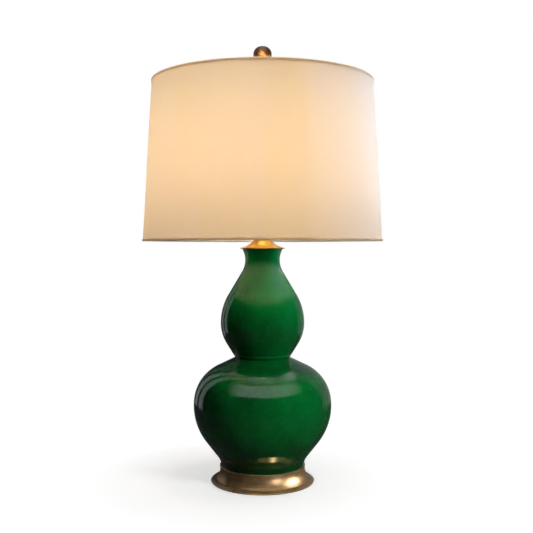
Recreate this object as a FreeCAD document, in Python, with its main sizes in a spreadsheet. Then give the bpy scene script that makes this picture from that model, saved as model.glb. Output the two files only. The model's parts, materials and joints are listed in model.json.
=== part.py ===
import FreeCAD, Part
import Sketcher
import math
import os

# A table lamp: a glazed double gourd on a turned gilt base, with a brass vase cap, a lamp socket, a harp and
# a tapered drum shade held by a finial. Millimetres, +Z up, front at -Y, origin on the axis at table height.

# Driving dimensions. A name that ends in _z is a height above the table, and one that ends in _r is a radius.
DIMS = {
    # turned base
    "felt_r": 88.0, "felt_tall": 1.5,
    "base_top_z": 31.5, "rim_r": 78.8, "bead_tall": 3.2, "bead_curve": 1.9, "bead_in": 1.6,
    "cavetto_curve": 30.0, "quirk_r": 83.8, "quirk_top_z": 6.8, "quirk_z": 6.0, "quirk_out": 0.9,
    "ovolo_curve": 10.0, "band_r": 94.2, "band_z": 2.8, "band_ease": 0.8,
    "cavity_r": 66.0, "plate_tall": 10.0,
    "outlet_z": 15.0, "outlet_hole_r": 4.1, "outlet_face_y": 76.0, "outlet_face_r": 6.6,
    "bush_r": 4.0, "bush_bore_r": 3.2, "bush_flange_r": 6.0, "bush_flange_tall": 1.5, "bush_inside": 2.0,
    # lamp pipe and the nut that clamps the stack
    "pipe_r": 4.9, "pipe_bore_r": 3.3, "pipe_hole_r": 5.0, "pipe_low_z": 11.0, "pipe_top_z": 463.5,
    "washer_r": 16.0, "washer_tall": 1.6, "nut_half": 7.2, "nut_tall": 4.5,
    # double gourd
    "wall": 5.0, "lip_z": 424.5,
    "neck_r": 31.4, "neck_z": 404.0, "neck_over": 40.0, "neck_under": 41.0,
    "bulb_r": 76.0, "bulb_z": 290.0, "bulb_over": 101.0, "bulb_under": 72.0,
    "waist_r": 49.4, "waist_z": 226.8, "waist_in_r": 41.6, "waist_in_z": 225.0,
    "belly_r": 125.2, "belly_z": 140.0, "belly_over": 120.0, "shoulder": 74.0, "shoulder_z": 150.0,
    "belly_under": 104.5, "foot_r": 74.9, "foot_curve": 35.0, "foot_curve_z": 27.0,
    "foot_ring_r": 62.0, "foot_ring_tall": 3.5, "floor_z": 42.0, "floor_hole_r": 8.0,
    # vase cap and check ring
    "cap_r": 40.7, "cap_edge": 0.9, "cap_lip_tall": 1.8, "cap_lip_curve": 1.0, "cap_lip_r": 38.6,
    "cap_flare": 37.0, "cap_neck_r": 12.6, "cap_top_z": 446.0, "cap_wall": 1.0,
    "ring_r": 10.6, "ring_tall": 11.0, "ring_band": 2.5, "ring_curve": 5.0,
    # harp saddle, harp and its sleeves
    "saddle_tall": 1.6, "saddle_half": 5.5, "prong_x": 27.0, "saddle_bend": 4.0, "prong_half": 0.8,
    "prong_z": 474.0, "prong_step_z": 466.0, "prong_narrow": 3.9, "cut_reach": 40.0,
    "sleeve_r": 5.1, "sleeve_bore_r": 4.25, "sleeve_tall": 20.0,
    "harp_wire": 1.6, "harp_leg_z": 502.0, "harp_foot_curve": 40.0, "harp_side_curve": 250.0,
    "harp_half": 54.0, "harp_top_curve": 34.0, "harp_top_z": 711.5,
    "eye_r": 7.0, "eye_tall": 3.2, "eye_hole_r": 2.58,
    "swivel_post": 2.5, "rivet_r": 4.2, "rivet_tall": 2.0, "swivel_gap": 0.2,
    "flange_r": 9.5, "flange_tall": 2.0, "stud_r": 3.1, "stud_tall": 11.5, "stud_ease": 0.6,
    # socket
    "socket_hub_r": 7.6, "socket_hub_tall": 4.4, "socket_cup_r": 16.9, "socket_cup_curve": 12.0,
    "socket_cup_tall": 13.0, "socket_cap_tall": 20.0, "socket_wall": 0.7,
    "shell_r": 16.1, "shell_low_z": 473.0, "shell_top_z": 511.0, "shell_bead": 0.7, "shell_bead_tall": 2.0,
    "liner_r": 15.3, "liner_wall": 0.7, "liner_low_z": 474.0, "liner_top_z": 509.5,
    "core_r": 13.9, "core_low_z": 467.0, "core_top_z": 490.0, "core_flat": 11.2, "core_flat_z": 482.0,
    "core_foot_r": 9.5, "core_foot_z": 472.0, "core_well_r": 3.0, "core_well_tall": 4.0,
    "screw_shell_r": 13.9, "screw_bore_r": 13.1, "screw_top_z": 509.0, "screw_floor": 0.8,
    "screw_hole_r": 8.0, "tongue_r": 2.6, "tongue_head_r": 4.5, "tongue_head": 1.0, "tongue_rise": 2.0,
    "screw_head_r": 3.0, "screw_head": 1.9,
    "screw_slot": 0.8, "screw_slot_deep": 0.8, "terminal_z": 474.5,
    # turn switch
    "switch_z": 486.0, "stem_r": 1.8, "stem_hole_r": 1.9, "stem_slot_r": 2.4, "stem_in": 9.0,
    "stem_out": 26.0, "knob_in": 19.0, "knob_collar": 22.0, "knob_out": 32.0, "knob_collar_r": 3.6,
    "knob_r": 5.6, "knob_end_r": 5.0, "knob_ease": 1.0, "flute_r": 0.8,
    # bulb
    "tip_low_z": 492.2, "tip_r": 3.6, "tip_tall": 1.8, "collar_low_r": 5.0, "collar_r": 12.4,
    "bulb_base_z": 498.0, "bulb_base_r": 13.0, "bulb_skirt_z": 512.0, "bulb_skirt_r": 13.6,
    "glass_low_z": 517.0, "glass_neck_r": 13.4, "glass_neck_z": 521.5, "glass_neck_curve": 36.0,
    "glass_join_r": 22.4, "glass_join_z": 546.1, "glass_r": 30.0, "glass_top_z": 596.0, "glass_wall": 0.9,
    # shade
    "shade_low_z": 438.6, "shade_top_z": 723.4, "shade_low_r": 215.4, "shade_top_r": 199.0, "shade_wall": 1.4,
    "ring_wire": 1.6, "low_ring_r": 212.0, "low_ring_z": 441.2, "top_ring_r": 195.9, "top_ring_z": 720.8,
    "trim_tall": 3.4, "trim_gap": 0.3, "trim_wall": 0.5, "trim_over": 0.6, "trim_clear": 0.05, "trim_in": 1.9,
    "hub_r": 13.0, "hub_hole_r": 3.5, "hub_tall": 2.0, "hub_gap": 0.2, "arm_r": 1.5, "arm_start": 9.0,
    # finial
    "collar_foot_r": 8.4, "collar_foot_tall": 3.0, "stalk_r": 4.4, "stalk_z": 728.0, "cove_curve": 8.0,
    "vase_r": 7.2, "vase_z": 739.0, "vase_curve": 18.0, "throat_r": 4.2, "throat_z": 752.5,
    "throat_curve": 24.0, "disc_r": 8.6, "disc_z": 755.5, "disc_tall": 3.0, "disc_curve": 1.8,
    "ball_neck_r": 5.5, "ball_neck_z": 761.0, "ball_r": 16.6, "ball_z": 776.0, "ball_under": 15.7,
    "ball_over": 13.8, "crown_r": 5.0, "crown_z": 789.6, "dimple": 1.1, "dimple_curve": 13.0,
    "stud_bore_r": 3.18, "stud_bore_tall": 13.0,
}
ARMS = 3
FLUTES = 12

doc = FreeCAD.newDocument("TableLamp")
sheet = doc.addObject("Spreadsheet::Sheet", "Dims")
for row, (alias, number) in enumerate(DIMS.items(), start=1):
    sheet.set("A%d" % row, alias)
    sheet.set("B%d" % row, str(number))
    sheet.setAlias("B%d" % row, alias)
doc.recompute()

parts = []


# ---- sums of named dimensions ----

def amount(terms):
    """Value of a sum of dimensions, such as "rim_r - bead_in"."""
    total = 0.0
    sign = 1.0
    for word in terms.split():
        if word in "+-":
            sign = 1.0 if word == "+" else -1.0
        elif word != "0":
            total += sign * DIMS[word]
    return total


def bound(terms):
    """The same sum as a formula that reads the sheet."""
    return " ".join(word if word in "+-0" else "Dims." + word for word in terms.split())


def opposite(terms):
    """The same sum with its sign turned."""
    swap = {"+": "-", "-": "+"}
    return "0 - " + " ".join(swap.get(word, word) for word in terms.split())


# ---- sketches ----

def new_body(name):
    """An empty body that becomes the sub-part of that name."""
    body = doc.addObject("PartDesign::Body", name)
    body.Label = name
    parts.append(body)
    return body


def origin_item(body, role):
    """The body's own origin plane or axis with that role."""
    return [item for item in body.Origin.OriginFeatures if item.Role == role][0]


def new_sketch(body, name, role="XZ_Plane", rise=None):
    """A sketch on one of the body's own origin planes, raised above it by rise."""
    sketch = body.newObject("Sketcher::SketchObject", name)
    sketch.AttachmentSupport = [(origin_item(body, role), "")]
    sketch.MapMode = "FlatFace"
    if rise:
        sketch.AttachmentOffset = FreeCAD.Placement(FreeCAD.Vector(0, 0, amount(rise)), FreeCAD.Rotation())
        sketch.setExpression("AttachmentOffset.Base.z", bound(rise))
    return sketch


def size(sketch, kind, terms, *where):
    """A driving constraint of the sketch, bound to the sheet."""
    index = sketch.addConstraint(Sketcher.Constraint(kind, *where, amount(terms)))
    sketch.setExpression("Constraints[%d]" % index, bound(terms))


def pin(sketch, edge, end, across, up):
    """Holds a point of an edge at (across, up) from the sketch's origin."""
    if across == "0" and up == "0":
        sketch.addConstraint(Sketcher.Constraint("Coincident", edge, end, -1, 1))
        return
    for terms, kind, axis in ((across, "DistanceX", -2), (up, "DistanceY", -1)):
        if terms == "0":
            sketch.addConstraint(Sketcher.Constraint("PointOnObject", edge, end, axis))
        elif amount(terms) > 0:
            size(sketch, kind, terms, -1, 1, edge, end)
        else:
            size(sketch, kind, opposite(terms), edge, end, -1, 1)


def arc_between(start, end, radius, turn):
    """The short arc from start to end. turn is 1 when it turns left on the way and -1 when it turns right."""
    chord = end - start
    left = FreeCAD.Vector(-chord.y, chord.x, 0).normalize()
    reach = math.sqrt(max(radius ** 2 - (chord.Length / 2) ** 2, 0))
    centre = (start + end) / 2 + left * reach * turn
    angles = [math.atan2(point.y - centre.y, point.x - centre.x) for point in (start, end)]
    circle = Part.Circle(centre, FreeCAD.Vector(0, 0, 1), radius)
    return Part.ArcOfCircle(circle, *(angles if turn > 0 else angles[::-1]))


def closed_outline(sketch, corners):
    """A closed outline. A corner is (across, up), and (across, up, curve, turn) ends an arc there."""
    points = [FreeCAD.Vector(amount(corner[0]), amount(corner[1]), 0) for corner in corners]
    edges = []
    for index, corner in enumerate(corners):
        start, end = points[index - 1], points[index]
        if len(corner) == 2:
            edge = sketch.addGeometry(Part.LineSegment(start, end), False)
            edges.append((edge, 1, 2))
        else:
            edge = sketch.addGeometry(arc_between(start, end, amount(corner[2]), corner[3]), False)
            edges.append((edge, 1, 2) if corner[3] > 0 else (edge, 2, 1))
    for index, corner in enumerate(corners):
        edge, _, last = edges[index]
        after, first, _ = edges[(index + 1) % len(edges)]
        sketch.addConstraint(Sketcher.Constraint("Coincident", edge, last, after, first))
        pin(sketch, edge, last, corner[0], corner[1])
        if len(corner) > 2:
            size(sketch, "Radius", corner[2], edge)


def mirrored(corners):
    """The same run of corners on the other side of the vertical axis, followed backwards."""
    back = corners[::-1]
    return [(opposite(corner[0]), corner[1], *after[2:]) for corner, after in zip(back, [()] + back)]


def circle(sketch, radius, across="0", up="0"):
    """A circle of that radius about (across, up)."""
    centre = FreeCAD.Vector(amount(across), amount(up), 0)
    edge = sketch.addGeometry(Part.Circle(centre, FreeCAD.Vector(0, 0, 1), amount(radius)), False)
    size(sketch, "Radius", radius, edge)
    pin(sketch, edge, 3, across, up)


# ---- features ----

def revolve(body, corners, name="Profile"):
    """Adds the outline, turned about the Z axis."""
    sketch = new_sketch(body, body.Name + name)
    closed_outline(sketch, corners)
    turned = body.newObject("PartDesign::Revolution", body.Name + name + "Turned")
    turned.Profile = sketch
    turned.ReferenceAxis = (sketch, ["V_Axis"])
    turned.Angle = 360.0
    return turned


def tube(body, radius, bore, low, tall, name="Ring"):
    """Adds a round tube or, without a bore, a disc, standing on the height low."""
    sketch = new_sketch(body, body.Name + name, "XY_Plane", low)
    circle(sketch, radius)
    if bore:
        circle(sketch, bore)
    raised = body.newObject("PartDesign::Pad", body.Name + name + "Pad")
    raised.Profile = sketch
    raised.setExpression("Length", bound(tall))
    return raised


def cut(body, sketch, reach, reverse=False, both=False):
    """Cuts the sketch out of the body over the length reach, and checks that it removed something."""
    doc.recompute()
    before = body.Shape.Volume
    pocket = body.newObject("PartDesign::Pocket", sketch.Name + "Cut")
    pocket.Profile = sketch
    pocket.setExpression("Length", bound(reach))
    pocket.Reversed = reverse
    if both:
        pocket.SideType = "Symmetric"
    doc.recompute()
    if body.Shape.Volume >= before - 1e-6:
        raise RuntimeError(sketch.Name + " cuts nothing")
    return pocket


def lay_along_y(body, rise, outward):
    """Lays a piece that was turned about Z along the Y axis, at the height rise."""
    quarter = -90 if outward > 0 else 90
    body.Placement = FreeCAD.Placement(FreeCAD.Vector(0, 0, amount(rise)),
                                       FreeCAD.Rotation(FreeCAD.Vector(1, 0, 0), quarter))
    body.setExpression("Placement.Base.z", bound(rise))


# ---- turned base ----

def felt_pad():
    body = new_body("felt_pad")
    tube(body, "felt_r", None, "0", "felt_tall")


def turned_base():
    """Bead, cavetto, quirk and ovolo outside, a hollow underside and a flat-faced outlet at the back."""
    body = new_body("turned_base")
    revolve(body, [
        ("pipe_hole_r", "base_top_z"),
        ("pipe_hole_r", "base_top_z - plate_tall"),
        ("cavity_r", "base_top_z - plate_tall"),
        ("cavity_r", "felt_tall"),
        ("band_r - band_ease", "felt_tall"),
        ("band_r", "band_z"),
        ("quirk_r + quirk_out", "quirk_z", "ovolo_curve", 1),
        ("quirk_r", "quirk_z"),
        ("quirk_r", "quirk_top_z"),
        ("rim_r - bead_in", "base_top_z - bead_tall", "cavetto_curve", -1),
        ("rim_r - bead_in", "base_top_z", "bead_curve", 1),
    ])
    hole = new_sketch(body, "OutletHole")
    circle(hole, "outlet_hole_r", "0", "outlet_z")
    cut(body, hole, "band_r")
    face = new_sketch(body, "OutletFace", "XZ_Plane", "0 - outlet_face_y")
    circle(face, "outlet_face_r", "0", "outlet_z")
    cut(body, face, "band_r")


def cord_bush():
    """Turned bush in the cord outlet, flange outside."""
    body = new_body("cord_bush")
    revolve(body, [
        ("bush_bore_r", "cavity_r - bush_inside"),
        ("bush_r", "cavity_r - bush_inside"),
        ("bush_r", "outlet_face_y"),
        ("bush_flange_r", "outlet_face_y"),
        ("bush_flange_r", "outlet_face_y + bush_flange_tall"),
        ("bush_bore_r", "outlet_face_y + bush_flange_tall"),
    ])
    lay_along_y(body, "outlet_z", 1)


def clamp_stack():
    """The lamp pipe, with the washer and hexagon nut that draw the stack together."""
    body = new_body("lamp_pipe")
    tube(body, "pipe_r", "pipe_bore_r", "pipe_low_z", "pipe_top_z - pipe_low_z")
    body = new_body("base_washer")
    tube(body, "washer_r", "pipe_hole_r", "base_top_z - plate_tall - washer_tall", "washer_tall")
    body = new_body("base_nut")
    sketch = new_sketch(body, "NutHexagon", "XY_Plane", "base_top_z - plate_tall - washer_tall - nut_tall")
    corner_r = DIMS["nut_half"] / math.cos(math.pi / 6)
    corners = [FreeCAD.Vector(corner_r * math.cos(k * math.pi / 3), corner_r * math.sin(k * math.pi / 3), 0)
               for k in range(6)]
    sides = [sketch.addGeometry(Part.LineSegment(corners[k - 1], corners[k]), False) for k in range(6)]
    guide = sketch.addGeometry(Part.Circle(FreeCAD.Vector(), FreeCAD.Vector(0, 0, 1), DIMS["nut_half"]), True)
    sketch.addConstraint(Sketcher.Constraint("Coincident", guide, 3, -1, 1))
    size(sketch, "Radius", "nut_half", guide)
    for k in range(6):
        sketch.addConstraint(Sketcher.Constraint("Coincident", sides[k - 1], 2, sides[k], 1))
        sketch.addConstraint(Sketcher.Constraint("Tangent", sides[k], guide))
    for k in range(1, 5):
        sketch.addConstraint(Sketcher.Constraint("Equal", sides[k - 1], sides[k]))
    sketch.addConstraint(Sketcher.Constraint("PointOnObject", sides[0], 2, -1))
    circle(sketch, "pipe_hole_r")
    pad = body.newObject("PartDesign::Pad", "NutPad")
    pad.Profile = sketch
    pad.setExpression("Length", bound("nut_tall"))


# ---- double gourd ----

def polar(centre, radius, angle):
    return centre + FreeCAD.Vector(math.cos(angle), math.sin(angle), 0) * radius


def bearing(origin, target):
    return math.atan2(target.y - origin.y, target.x - origin.x)


def crossing_tangent(hollow, hollow_r, full, full_r, side):
    """Direction from the full arc's centre to the line that touches it and a hollow arc."""
    reach = (full - hollow).Length
    return bearing(hollow, full) + side * math.acos(-(hollow_r + full_r) / reach)


def gourd_chain(sketch, skin, waist, foot_end):
    """One face of the gourd from lip to foot, as tangent arcs and lines. skin is "" for the outside, and
    the wall's name for the inside, which keeps the same arc centres."""
    inset = amount(skin) if skin else 0.0
    less = " - " + skin if skin else ""
    more = " + " + skin if skin else ""
    at = FreeCAD.Vector
    neck_over = at(amount("neck_r + neck_over"), amount("neck_z"), 0)
    neck_under = at(amount("neck_r + neck_under"), amount("neck_z"), 0)
    bulb_over = at(amount("bulb_r - bulb_over"), amount("bulb_z"), 0)
    bulb_under = at(amount("bulb_r - bulb_under"), amount("bulb_z"), 0)
    belly_over = at(amount("belly_r - belly_over"), amount("belly_z"), 0)
    belly_under = at(amount("belly_r - belly_under"), amount("belly_z"), 0)
    foot = at(amount("foot_r + foot_curve"), amount("foot_curve_z"), 0)
    crease = at(amount(waist[0]), amount(waist[1]), 0)
    neck_over_r, neck_under_r = DIMS["neck_over"] + inset, DIMS["neck_under"] + inset
    bulb_over_r, bulb_under_r = DIMS["bulb_over"] - inset, DIMS["bulb_under"] - inset
    belly_over_r, belly_under_r = DIMS["belly_over"] - inset, DIMS["belly_under"] - inset
    shoulder_r, foot_r = DIMS["shoulder"] - inset, DIMS["foot_curve"] + inset

    lip = math.pi - math.asin(amount("lip_z - neck_z") / neck_over_r)
    flank = crossing_tangent(neck_under, neck_under_r, bulb_over, bulb_over_r, 1)
    under = bearing(bulb_under, crease) + math.acos(bulb_under_r / (crease - bulb_under).Length)
    join = math.asin(amount("shoulder_z - belly_z") / DIMS["belly_over"])
    shoulder = polar(belly_over, belly_over_r - shoulder_r, join)
    slope = bearing(shoulder, crease) - math.acos(shoulder_r / (crease - shoulder).Length)
    lower = crossing_tangent(foot, foot_r, belly_under, belly_under_r, -1)
    base = math.pi + math.asin(amount("foot_curve_z") / foot_r - amount(foot_end) / foot_r)

    def arc(centre, radius, first, last):
        """An arc that is followed from the angle first to the angle last."""
        whole = Part.Circle(centre, FreeCAD.Vector(0, 0, 1), radius)
        if last > first:
            return Part.ArcOfCircle(whole, first, last), 1, 2
        return Part.ArcOfCircle(whole, last, first), 2, 1

    def line(start, end):
        return Part.LineSegment(start, end), 1, 2

    chain = [
        arc(neck_over, neck_over_r, lip, math.pi),
        arc(neck_under, neck_under_r, math.pi, math.pi + flank),
        line(polar(neck_under, -neck_under_r, flank), polar(bulb_over, bulb_over_r, flank)),
        arc(bulb_over, bulb_over_r, flank, 0),
        arc(bulb_under, bulb_under_r, 0, under),
        line(polar(bulb_under, bulb_under_r, under), crease),
        line(crease, polar(shoulder, shoulder_r, slope)),
        arc(shoulder, shoulder_r, slope, join),
        arc(belly_over, belly_over_r, join, 0),
        arc(belly_under, belly_under_r, 0, lower),
        line(polar(belly_under, belly_under_r, lower), polar(foot, -foot_r, lower)),
        arc(foot, foot_r, math.pi + lower, base),
    ]
    ids = [(sketch.addGeometry(shape, False), first, last) for shape, first, last in chain]
    for (edge, _, last), (after, first, _) in zip(ids, ids[1:]):
        kind = "Coincident" if edge == ids[5][0] else "Tangent"
        sketch.addConstraint(Sketcher.Constraint(kind, edge, last, after, first))
    radii = {0: "neck_over" + more, 1: "neck_under" + more, 3: "bulb_over" + less, 4: "bulb_under" + less,
             7: "shoulder" + less, 8: "belly_over" + less, 9: "belly_under" + less, 11: "foot_curve" + more}
    for index, terms in radii.items():
        size(sketch, "Radius", terms, ids[index][0])
    pin(sketch, ids[0][0], ids[0][2], "neck_r" + less, "neck_z")
    pin(sketch, ids[3][0], ids[3][2], "bulb_r" + less, "bulb_z")
    pin(sketch, ids[5][0], ids[5][2], *waist)
    pin(sketch, ids[8][0], ids[8][2], "belly_r" + less, "belly_z")
    for index, terms in ((0, "neck_z"), (3, "bulb_z"), (8, "belly_z")):
        size(sketch, "DistanceY", terms, -1, 1, ids[index][0], 3)
    size(sketch, "DistanceY", "shoulder_z", -1, 1, ids[7][0], ids[7][2])
    pin(sketch, ids[11][0], 3, "foot_r + foot_curve", "foot_curve_z")
    size(sketch, "DistanceY", "lip_z", -1, 1, ids[0][0], ids[0][1])
    size(sketch, "DistanceY", foot_end, -1, 1, ids[11][0], ids[11][2])
    return ids[0][:2], (ids[11][0], ids[11][2])


def gourd_body():
    """Thrown shell with one sharp crease at the waist, on a foot ring, with a hole in its floor."""
    body = new_body("gourd_body")
    sketch = new_sketch(body, "GourdProfile")
    outer_lip, outer_foot = gourd_chain(sketch, "", ("waist_r", "waist_z"), "base_top_z")
    inner_lip, inner_foot = gourd_chain(sketch, "wall", ("waist_in_r", "waist_in_z"), "floor_z")
    ends = [sketch.getPoint(*end) for end in (outer_lip, inner_lip, outer_foot, inner_foot)]
    across = sketch.addGeometry(Part.LineSegment(ends[0], ends[1]), False)
    sketch.addConstraint(Sketcher.Constraint("Coincident", across, 1, *outer_lip))
    sketch.addConstraint(Sketcher.Constraint("Coincident", across, 2, *inner_lip))
    steps = [
        ("foot_ring_r", "base_top_z"),
        ("foot_ring_r", "base_top_z + foot_ring_tall"),
        ("floor_hole_r", "base_top_z + foot_ring_tall"),
        ("floor_hole_r", "floor_z"),
    ]
    points = [ends[2]] + [FreeCAD.Vector(amount(step[0]), amount(step[1]), 0) for step in steps] + [ends[3]]
    held = outer_foot
    for index in range(len(points) - 1):
        edge = sketch.addGeometry(Part.LineSegment(points[index], points[index + 1]), False)
        sketch.addConstraint(Sketcher.Constraint("Coincident", *held, edge, 1))
        if index < len(steps):
            pin(sketch, edge, 2, *steps[index])
        held = (edge, 2)
    sketch.addConstraint(Sketcher.Constraint("Coincident", *held, *inner_foot))
    turned = body.newObject("PartDesign::Revolution", "GourdTurned")
    turned.Profile = sketch
    turned.ReferenceAxis = (sketch, ["V_Axis"])
    turned.Angle = 360.0


# ---- vase cap, check ring and saddle ----

def vase_cap():
    """Hollow flare with a rounded lip, resting on the gourd's mouth."""
    body = new_body("vase_cap")
    revolve(body, [
        ("pipe_hole_r", "cap_top_z"),
        ("pipe_hole_r", "cap_top_z - cap_wall"),
        ("cap_neck_r - cap_wall", "cap_top_z - cap_wall"),
        ("cap_lip_r - cap_lip_tall", "lip_z", "cap_flare", 1),
        ("cap_r - cap_edge", "lip_z"),
        ("cap_r - cap_edge", "lip_z + cap_lip_tall", "cap_lip_curve", 1),
        ("cap_lip_r", "lip_z + cap_lip_tall"),
        ("cap_neck_r", "cap_top_z", "cap_flare", -1),
    ])


def check_ring():
    """Turned spacer between the vase cap and the saddle."""
    body = new_body("check_ring")
    revolve(body, [
        ("pipe_hole_r", "cap_top_z"),
        ("ring_r", "cap_top_z"),
        ("ring_r", "cap_top_z + ring_band"),
        ("ring_r", "cap_top_z + ring_tall - ring_band", "ring_curve", -1),
        ("ring_r", "cap_top_z + ring_tall"),
        ("pipe_hole_r", "cap_top_z + ring_tall"),
    ])


SADDLE = "cap_top_z + ring_tall"


def harp_saddle():
    """Bent strap with a hole for the pipe and two prongs that are narrower above a step."""
    body = new_body("harp_saddle")
    sketch = new_sketch(body, "SaddleSide")
    bend_z = SADDLE + " + saddle_bend"
    half = [
        ("prong_x + prong_half - saddle_bend", SADDLE + " + saddle_tall"),
        ("prong_x - prong_half", bend_z, "saddle_bend - saddle_tall", 1),
        ("prong_x - prong_half", "prong_z"),
        ("prong_x + prong_half", "prong_z"),
        ("prong_x + prong_half", bend_z),
        ("prong_x + prong_half - saddle_bend", SADDLE, "saddle_bend", -1),
    ]
    closed_outline(sketch, half + mirrored(half))
    strap = body.newObject("PartDesign::Pad", "SaddleStrap")
    strap.Profile = sketch
    strap.SideType = "Symmetric"
    strap.setExpression("Length", "2 * Dims.saddle_half")
    steps = new_sketch(body, "ProngSteps", "YZ_Plane")
    for side in ("0 + ", "0 - "):
        closed_outline(steps, [
            (side + "prong_narrow", "prong_step_z"),
            (side + "cut_reach", "prong_step_z"),
            (side + "cut_reach", "prong_z + saddle_bend"),
            (side + "prong_narrow", "prong_z + saddle_bend"),
        ])
    cut(body, steps, "cut_reach + cut_reach", both=True)
    hole = new_sketch(body, "SaddleHole", "XY_Plane", SADDLE)
    circle(hole, "pipe_hole_r")
    cut(body, hole, "saddle_tall + saddle_tall", both=True)


# ---- socket ----

CUP = SADDLE + " + saddle_tall"


def socket_cap():
    body = new_body("socket_cap")
    revolve(body, [
        ("pipe_hole_r", CUP),
        ("socket_hub_r", CUP),
        ("socket_hub_r", CUP + " + socket_hub_tall"),
        ("socket_cup_r", CUP + " + socket_cup_tall", "socket_cup_curve", 1),
        ("socket_cup_r", CUP + " + socket_cap_tall"),
        ("socket_cup_r - socket_wall", CUP + " + socket_cap_tall"),
        ("socket_cup_r - socket_wall", CUP + " + socket_cup_tall"),
        ("socket_hub_r - socket_wall", CUP + " + socket_hub_tall + socket_wall", "socket_cup_curve", -1),
        ("pipe_hole_r", CUP + " + socket_hub_tall + socket_wall"),
    ])


def stem_opening(body, name, radius):
    """Round hole for the switch stem, from the axis out through the front."""
    sketch = new_sketch(body, name)
    circle(sketch, radius, "0", "switch_z")
    cut(body, sketch, "socket_cup_r + socket_cup_r", reverse=True)


def socket_shell():
    body = new_body("socket_shell")
    revolve(body, [
        ("shell_r - socket_wall", "shell_low_z"),
        ("shell_r", "shell_low_z"),
        ("shell_r", "shell_top_z - shell_bead_tall"),
        ("shell_r + shell_bead", "shell_top_z - shell_bead_tall + shell_bead"),
        ("shell_r + shell_bead", "shell_top_z"),
        ("shell_r - socket_wall", "shell_top_z"),
    ])
    stem_opening(body, "ShellSlot", "stem_slot_r")


def socket_insulator():
    body = new_body("socket_insulator")
    tube(body, "liner_r", "liner_r - liner_wall", "liner_low_z", "liner_top_z - liner_low_z")
    stem_opening(body, "InsulatorSlot", "stem_slot_r")


def socket_core():
    """Moulded core, tapered to clear the cap, with a well for the centre contact, flats for the terminals
    and a bore for the stem."""
    body = new_body("socket_core")
    revolve(body, [
        ("0", "core_low_z"),
        ("core_foot_r", "core_low_z"),
        ("core_r", "core_foot_z"),
        ("core_r", "core_top_z"),
        ("core_well_r", "core_top_z"),
        ("core_well_r", "core_top_z - core_well_tall"),
        ("0", "core_top_z - core_well_tall"),
    ])
    sketch = new_sketch(body, "TerminalFlat", "YZ_Plane", "core_flat")
    closed_outline(sketch, [
        ("0 - core_r", "core_low_z - core_well_tall"),
        ("core_r", "core_low_z - core_well_tall"),
        ("core_r", "core_flat_z"),
        ("0 - core_r", "core_flat_z"),
    ])
    flat = cut(body, sketch, "core_r", reverse=True)
    far = body.newObject("PartDesign::Mirrored", "TerminalFlatFar")
    far.Originals = [flat]
    far.MirrorPlane = (origin_item(body, "YZ_Plane"), [""])
    body.Tip = far
    bore = new_sketch(body, "StemBore", "XZ_Plane", "stem_in - stem_r")
    circle(bore, "stem_hole_r", "0", "switch_z")
    cut(body, bore, "core_r", reverse=True)


def socket_contacts():
    """The screw shell that takes the bulb, and the contact under it."""
    body = new_body("screw_shell")
    revolve(body, [
        ("screw_hole_r", "core_top_z"),
        ("screw_shell_r", "core_top_z"),
        ("screw_shell_r", "screw_top_z"),
        ("screw_bore_r", "screw_top_z"),
        ("screw_bore_r", "core_top_z + screw_floor"),
        ("screw_hole_r", "core_top_z + screw_floor"),
    ])
    body = new_body("centre_contact")
    revolve(body, [
        ("0", "core_top_z - core_well_tall"),
        ("tongue_r", "core_top_z - core_well_tall"),
        ("tongue_r", "core_top_z + tongue_rise - tongue_head"),
        ("tongue_head_r", "core_top_z + tongue_rise - tongue_head"),
        ("tongue_head_r", "core_top_z + tongue_rise"),
        ("0", "core_top_z + tongue_rise"),
    ])


def cylinder_along_x(name, radius, start, length):
    """A round bar along X at the terminals' height, from x = start."""
    bar = doc.addObject("Part::Cylinder", name)
    bar.setExpression("Radius", bound(radius))
    bar.setExpression("Height", bound(length))
    bar.Placement = FreeCAD.Placement(FreeCAD.Vector(), FreeCAD.Rotation(FreeCAD.Vector(0, 1, 0), 90))
    bar.setExpression("Placement.Base.x", bound(start))
    bar.setExpression("Placement.Base.z", bound("terminal_z"))
    return bar


def terminal_screws():
    """Two slotted screws, one on each flat of the core, as one group."""
    head = cylinder_along_x("ScrewHead", "screw_head_r", "core_flat", "screw_head")
    slot = doc.addObject("Part::Box", "ScrewSlot")
    slot.setExpression("Length", bound("screw_slot_deep"))
    slot.setExpression("Width", "2 * Dims.screw_head_r")
    slot.setExpression("Height", bound("screw_slot"))
    slot.setExpression("Placement.Base.x", bound("core_flat + screw_head - screw_slot_deep"))
    slot.setExpression("Placement.Base.y", "-Dims.screw_head_r")
    slot.setExpression("Placement.Base.z", "Dims.terminal_z - Dims.screw_slot / 2")
    slotted = doc.addObject("Part::Cut", "SlottedHead")
    slotted.Base = head
    slotted.Tool = slot
    mirrored = doc.addObject("Part::Mirroring", "FarHead")
    mirrored.Source = slotted
    mirrored.Normal = FreeCAD.Vector(1, 0, 0)
    pair = doc.addObject("Part::Compound", "terminal_screws")
    pair.Label = "terminal_screws"
    pair.Links = [slotted, mirrored]
    parts.append(pair)


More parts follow.
